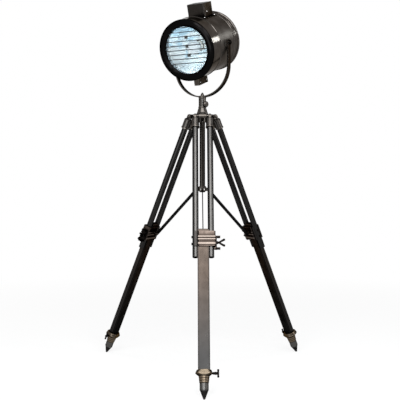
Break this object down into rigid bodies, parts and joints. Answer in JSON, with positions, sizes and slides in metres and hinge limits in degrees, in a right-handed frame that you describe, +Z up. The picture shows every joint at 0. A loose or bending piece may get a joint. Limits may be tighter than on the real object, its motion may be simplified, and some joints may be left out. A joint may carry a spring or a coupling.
{
  "type": "tripod floor lamp",
  "caption": "Floor-standing searchlight lamp: drum head with louvred glass front, tilting in a bar yoke on a folding tripod with telescoping legs, brace spider and spiked feet.",
  "frame": {"origin": "floor level, under the axis of the centre column", "axes": "+Z up, -Y along the front leg, +X to the right as seen from the front; metres"},
  "size_m": [0.9006, 0.8088, 1.5736],
  "materials": {
    "head_bronze": "gloss dark bronze plating",
    "bezel_black": "gloss black nickel",
    "clear_glass": "clear, slightly domed",
    "gasket_rubber": "matt",
    "inner_black": "satin black",
    "louvre_silver": "satin silver",
    "reflector_silver": "polished, dimpled",
    "bulb_glass": "opal",
    "porcelain": "glazed",
    "plain_steel": "bright zinc",
    "yoke_bronze": "gloss dark bronze plating",
    "hub_pewter": "antique pewter plating",
    "column_lacquer": "gloss black",
    "rod_lacquer": "high-gloss black lacquer",
    "board_lacquer": "high-gloss dark brown lacquer",
    "clamp_bronze": "antique bronze plating",
    "foot_bronze": "antique bronze plating, worn to brass on the bands",
    "spike_steel": "darkened steel",
    "strut_black": "satin black"
  },
  "bodies": {
    "hub": {"hub_casting": "hub_pewter", "socket": "hub_pewter", "hinge_pins": "hub_pewter", "column_tube": "column_lacquer", "column_cap": "bezel_black"},
    "yoke": {"yoke_bar": "yoke_bronze", "spigot": "plain_steel", "finial_nut": "hub_pewter"},
    "head": {"drum_shell": "head_bronze", "front_bezel": "bezel_black", "front_glass": "clear_glass", "glass_gasket": "gasket_rubber", "louvre_ring": "inner_black", "louvre_slats": "louvre_silver", "louvre_clips": "inner_black", "reflector": "reflector_silver", "bulb": "bulb_glass", "lampholder": "porcelain", "holder_bracket": "plain_steel", "rear_cap": "head_bronze", "chimney": "head_bronze", "chimney_baffle": "inner_black", "connection_box": "head_bronze", "pivot_pads": "head_bronze", "head_screws": "plain_steel", "cable_gland": "inner_black"},
    "tilt_screw_left": {"tilt_screw_left": "hub_pewter"},
    "tilt_screw_right": {"tilt_screw_right": "hub_pewter"},
    "socket_screw": {"socket_screw": "yoke_bronze"},
    "collar": {"brace_collar": "clamp_bronze", "collar_pins": "plain_steel"},
    "front_strut": {"front_strut": "strut_black"},
    "front_leg": {"front_ferrules": "hub_pewter", "front_rods": "rod_lacquer", "front_clamp": "clamp_bronze"},
    "front_lower_leg": {"front_board": "board_lacquer", "front_foot": "foot_bronze", "front_spike": "spike_steel"},
    "front_clamp_screw": {"front_clamp_screw": "clamp_bronze"},
    "front_foot_screw": {"front_foot_screw": "foot_bronze"},
    "left_strut": {"left_strut": "strut_black"},
    "left_leg": {"left_ferrules": "hub_pewter", "left_rods": "rod_lacquer", "left_clamp": "clamp_bronze"},
    "left_lower_leg": {"left_board": "board_lacquer", "left_foot": "foot_bronze", "left_spike": "spike_steel"},
    "left_clamp_screw": {"left_clamp_screw": "clamp_bronze"},
    "left_foot_screw": {"left_foot_screw": "foot_bronze"},
    "right_strut": {"right_strut": "strut_black"},
    "right_leg": {"right_ferrules": "hub_pewter", "right_rods": "rod_lacquer", "right_clamp": "clamp_bronze"},
    "right_lower_leg": {"right_board": "board_lacquer", "right_foot": "foot_bronze", "right_spike": "spike_steel"},
    "right_clamp_screw": {"right_clamp_screw": "clamp_bronze"},
    "right_foot_screw": {"right_foot_screw": "foot_bronze"}
  },
  "joints": [
    {"name": "head_pan", "type": "hinge", "parent": "hub", "child": "yoke", "pos_m": [0, 0, 1.14295], "axis": [0, 0, 1], "range_deg": [-170, 170]},
    {"name": "head_tilt", "type": "hinge", "parent": "yoke", "child": "head", "pos_m": [0, 0, 1.39135], "axis": [0.866, -0.5, 0], "range_deg": [-72, 37]},
    {"name": "tilt_screw_left_turn", "type": "hinge", "parent": "head", "child": "tilt_screw_left", "pos_m": [-0.11258, 0.065, 1.39135], "axis": [-0.866, 0.5, 0], "continuous": true},
    {"name": "tilt_screw_right_turn", "type": "hinge", "parent": "head", "child": "tilt_screw_right", "pos_m": [0.11258, -0.065, 1.39135], "axis": [0.866, -0.5, 0], "continuous": true},
    {"name": "socket_screw_turn", "type": "hinge", "parent": "hub", "child": "socket_screw", "pos_m": [0.01607, -0.01915, 1.13445], "axis": [0.6428, -0.766, 0], "continuous": true},
    {"name": "front_leg_fold", "type": "hinge", "parent": "hub", "child": "front_leg", "pos_m": [0, -0.046, 1.08295], "axis": [1, 0, 0], "range_deg": [0, 20]},
    {"name": "left_leg_fold", "type": "hinge", "parent": "hub", "child": "left_leg", "pos_m": [-0.03984, 0.023, 1.08295], "axis": [-0.5, -0.866, 0], "range_deg": [0, 20]},
    {"name": "right_leg_fold", "type": "hinge", "parent": "hub", "child": "right_leg", "pos_m": [0.03984, 0.023, 1.08295], "axis": [-0.5, 0.866, 0], "range_deg": [0, 20]},
    {"name": "collar_slide", "type": "slide", "parent": "hub", "child": "collar", "axis": [0, 0, 1], "range_m": [0, 0.0524]},
    {"name": "front_strut_turn", "type": "hinge", "parent": "collar", "child": "front_strut", "pos_m": [0, -0.028, 0.76825], "axis": [1, 0, 0], "range_deg": [0, 42.1]},
    {"name": "left_strut_turn", "type": "hinge", "parent": "collar", "child": "left_strut", "pos_m": [-0.02425, 0.014, 0.76825], "axis": [-0.5, -0.866, 0], "range_deg": [0, 42.1]},
    {"name": "right_strut_turn", "type": "hinge", "parent": "collar", "child": "right_strut", "pos_m": [0.02425, 0.014, 0.76825], "axis": [-0.5, 0.866, 0], "range_deg": [0, 42.1]},
    {"name": "front_leg_slide", "type": "slide", "parent": "front_leg", "child": "front_lower_leg", "axis": [0, 0.3971, 0.9178], "range_m": [0, 0.4]},
    {"name": "front_clamp_screw_turn", "type": "hinge", "parent": "front_leg", "child": "front_clamp_screw", "pos_m": [0.05, -0.27147, 0.56191], "axis": [1, 0, 0], "continuous": true},
    {"name": "front_foot_screw_turn", "type": "hinge", "parent": "front_lower_leg", "child": "front_foot_screw", "pos_m": [0.036, -0.47667, 0.08774], "axis": [1, 0, 0], "continuous": true},
    {"name": "left_leg_slide", "type": "slide", "parent": "left_leg", "child": "left_lower_leg", "axis": [0.3439, -0.1986, 0.9178], "range_m": [0, 0.4]},
    {"name": "left_clamp_screw_turn", "type": "hinge", "parent": "left_leg", "child": "left_clamp_screw", "pos_m": [-0.2601, 0.09244, 0.56191], "axis": [-0.5, -0.866, 0], "continuous": true},
    {"name": "left_foot_screw_turn", "type": "hinge", "parent": "left_lower_leg", "child": "left_foot_screw", "pos_m": [-0.43081, 0.20716, 0.08774], "axis": [-0.5, -0.866, 0], "continuous": true},
    {"name": "right_leg_slide", "type": "slide", "parent": "right_leg", "child": "right_lower_leg", "axis": [-0.3439, -0.1986, 0.9178], "range_m": [0, 0.4]},
    {"name": "right_clamp_screw_turn", "type": "hinge", "parent": "right_leg", "child": "right_clamp_screw", "pos_m": [0.2101, 0.17904, 0.56191], "axis": [-0.5, 0.866, 0], "continuous": true},
    {"name": "right_foot_screw_turn", "type": "hinge", "parent": "right_lower_leg", "child": "right_foot_screw", "pos_m": [0.39481, 0.26951, 0.08774], "axis": [-0.5, 0.866, 0], "continuous": true}
  ],
  "couplings": [
    {"joint": "left_leg_fold", "follows": "front_leg_fold", "ratio": 1},
    {"joint": "right_leg_fold", "follows": "front_leg_fold", "ratio": 1},
    {"joint": "collar_slide", "follows": "front_leg_fold", "m_per_rad": 0.15006},
    {"joint": "front_strut_turn", "follows": "front_leg_fold", "ratio": 2.1038},
    {"joint": "left_strut_turn", "follows": "front_leg_fold", "ratio": 2.1038},
    {"joint": "right_strut_turn", "follows": "front_leg_fold", "ratio": 2.1038}
  ]
}
